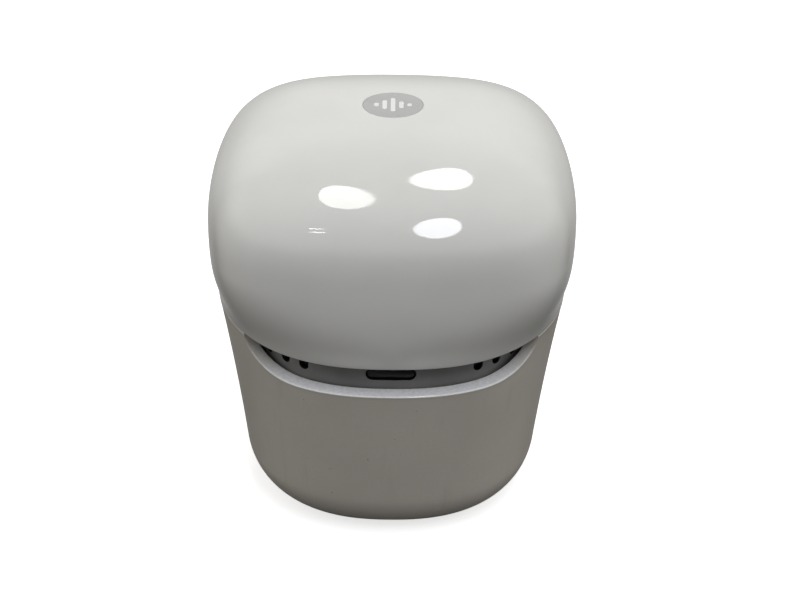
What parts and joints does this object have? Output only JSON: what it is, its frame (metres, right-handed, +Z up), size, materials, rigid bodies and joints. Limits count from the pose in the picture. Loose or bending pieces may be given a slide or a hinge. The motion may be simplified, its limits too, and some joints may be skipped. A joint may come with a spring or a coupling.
{
  "type": "smart speaker",
  "caption": "Compact table-top smart speaker: glossy rounded cap on a satin tapering body with a scooped front rim that opens a crescent of sound vents.",
  "frame": {"origin": "centre of the rest face on the surface it stands on", "axes": "+Z up; the front with the vents faces -Y; the inlet and controls are at +Y; +X is to the right seen from the front"},
  "size_m": [0.1, 0.1, 0.1135],
  "materials": {
    "cap_gloss": "glossy light grey, smooth",
    "body_satin": "satin mid grey with a fine grain",
    "collar_grey": "satin dark grey",
    "badge_print": null,
    "black_plastic": "fine matte texture",
    "smoked_lens": "polished smoked window",
    "silicone": "matte silicone rubber",
    "foam": "open foam",
    "acoustic_cloth": "fine black acoustic cloth",
    "circuit_board": "solder mask",
    "steel": "plain bright steel",
    "black_steel": "black coated pressed steel",
    "magnet": "sintered ferrite",
    "copper_wire": "enamelled copper winding",
    "paper_cone": "pressed paper pulp",
    "spider_cloth": "impregnated corrugated cloth",
    "surround_rubber": "soft rubber",
    "polyimide": "amber film",
    "white_plastic": "white moulded",
    "cable_black": "black cable jacket",
    "cable_red": "red cable jacket"
  },
  "bodies": {
    "root": {"acoustic_mesh": "acoustic_cloth", "baffle_gasket": "foam", "base_plate": "black_plastic", "base_screw_1": "steel", "base_screw_2": "steel", "base_screw_3": "steel", "base_screw_4": "steel", "body_shell": "body_satin", "bulk_capacitor": "black_plastic", "cap_carrier": "black_plastic", "cap_shell": "cap_gloss", "driver_baffle": "black_plastic", "driver_basket": "black_steel", "driver_magnet": "magnet", "driver_screw_1": "steel", "driver_screw_2": "steel", "driver_screw_3": "steel", "driver_screw_4": "steel", "foot_pad": "silicone", "frame_screw_1": "steel", "frame_screw_2": "steel", "frame_screw_3": "steel", "frame_screw_4": "steel", "front_plate": "steel", "inlet_shell": "steel", "inlet_tongue": "black_plastic", "main_board": "circuit_board", "main_board_screw_1": "steel", "main_board_screw_2": "steel", "microphone_left": "steel", "microphone_right": "steel", "mute_switch": "steel", "pairing_switch": "black_plastic", "power_board": "circuit_board", "power_board_screw_1": "steel", "power_board_screw_2": "steel", "power_cable": "cable_black", "rear_panel": "black_plastic", "ribbon_socket": "white_plastic", "shield_can": "steel", "speaker_cable": "cable_red", "spider": "spider_cloth", "status_board": "circuit_board", "status_light": "white_plastic", "status_window": "smoked_lens", "surround": "surround_rubber", "top_badge": "badge_print", "touch_board": "circuit_board", "touch_bracket": "black_plastic", "touch_electrode": "foam", "touch_ribbon": "polyimide", "vent_collar": "collar_grey", "wireless_module": "steel", "yoke": "steel"},
    "diaphragm": {"cone": "paper_cone", "dust_cap": "paper_cone", "voice_coil_former": "polyimide", "voice_coil": "copper_wire"},
    "pairing_button": {"pairing_button": "silicone"},
    "mute_slider": {"mute_slider": "black_plastic"}
  },
  "joints": [
    {"name": "diaphragm_stroke", "type": "slide", "parent": "root", "child": "diaphragm", "axis": [0, 0, 1], "range_m": [-0.002, 0.002], "stiffness_N_per_m": 900, "deforming": ["surround", "spider"]},
    {"name": "pairing_button_press", "type": "slide", "parent": "root", "child": "pairing_button", "axis": [0, -1, 0], "range_m": [0, 0.0006], "stiffness_N_per_m": 250},
    {"name": "mute_slider_shift", "type": "slide", "parent": "root", "child": "mute_slider", "axis": [1, 0, 0], "range_m": [0, 0.002]}
  ]
}
